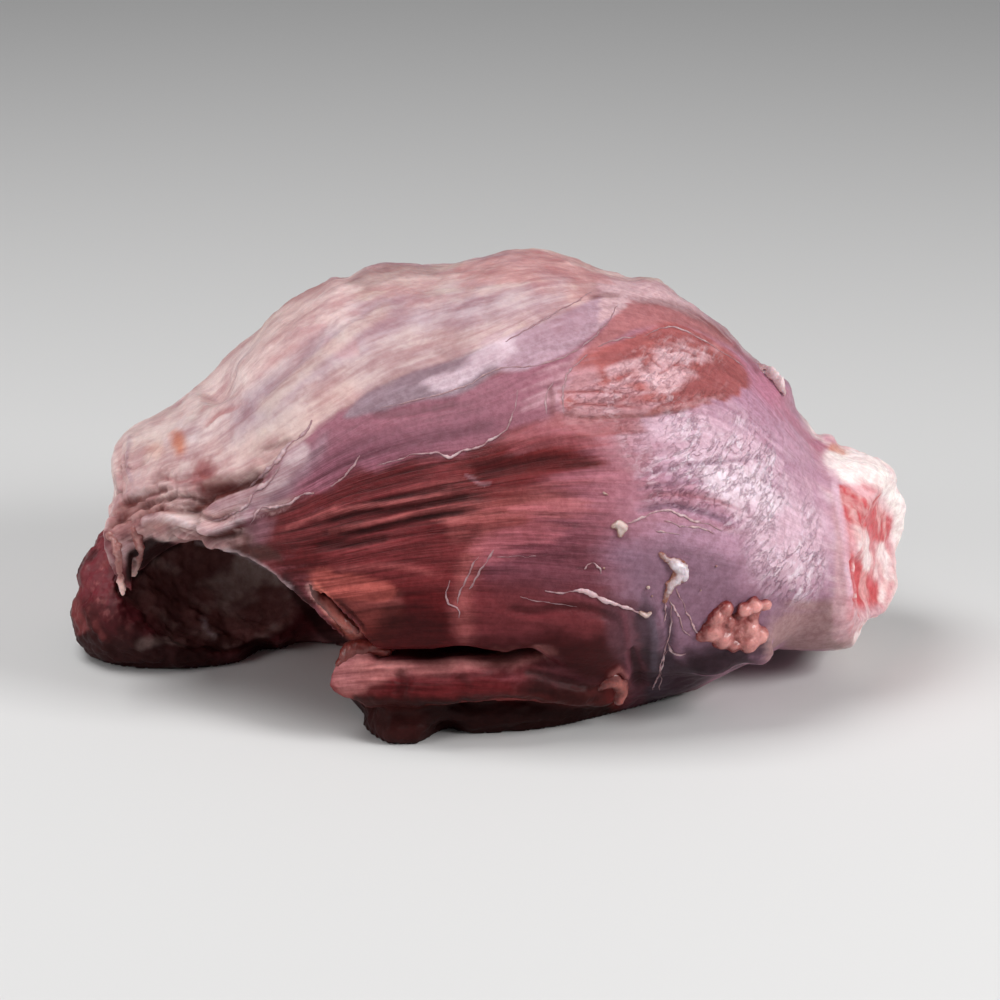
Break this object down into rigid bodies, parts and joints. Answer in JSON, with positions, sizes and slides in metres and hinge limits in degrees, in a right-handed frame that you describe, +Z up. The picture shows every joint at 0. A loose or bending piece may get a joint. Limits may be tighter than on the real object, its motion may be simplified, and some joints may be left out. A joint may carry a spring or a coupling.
{
  "type": "raw leg of lamb",
  "caption": "Raw leg of lamb, partly boned, resting on its flat underside, with a bone pocket at the chump end and a cut knuckle end.",
  "frame": {"origin": "middle of the leg's length and depth, on the surface it rests on", "axes": "+X from the chump end to the knuckle end along the length, -Y the front with the pocket and the folded skirt, +Z up"},
  "size_m": [0.2468, 0.1506, 0.1188],
  "materials": {
    "raw_lamb": null
  },
  "bodies": {
    "root": {"leg_of_lamb": "raw_lamb"}
  },
  "joints": []
}
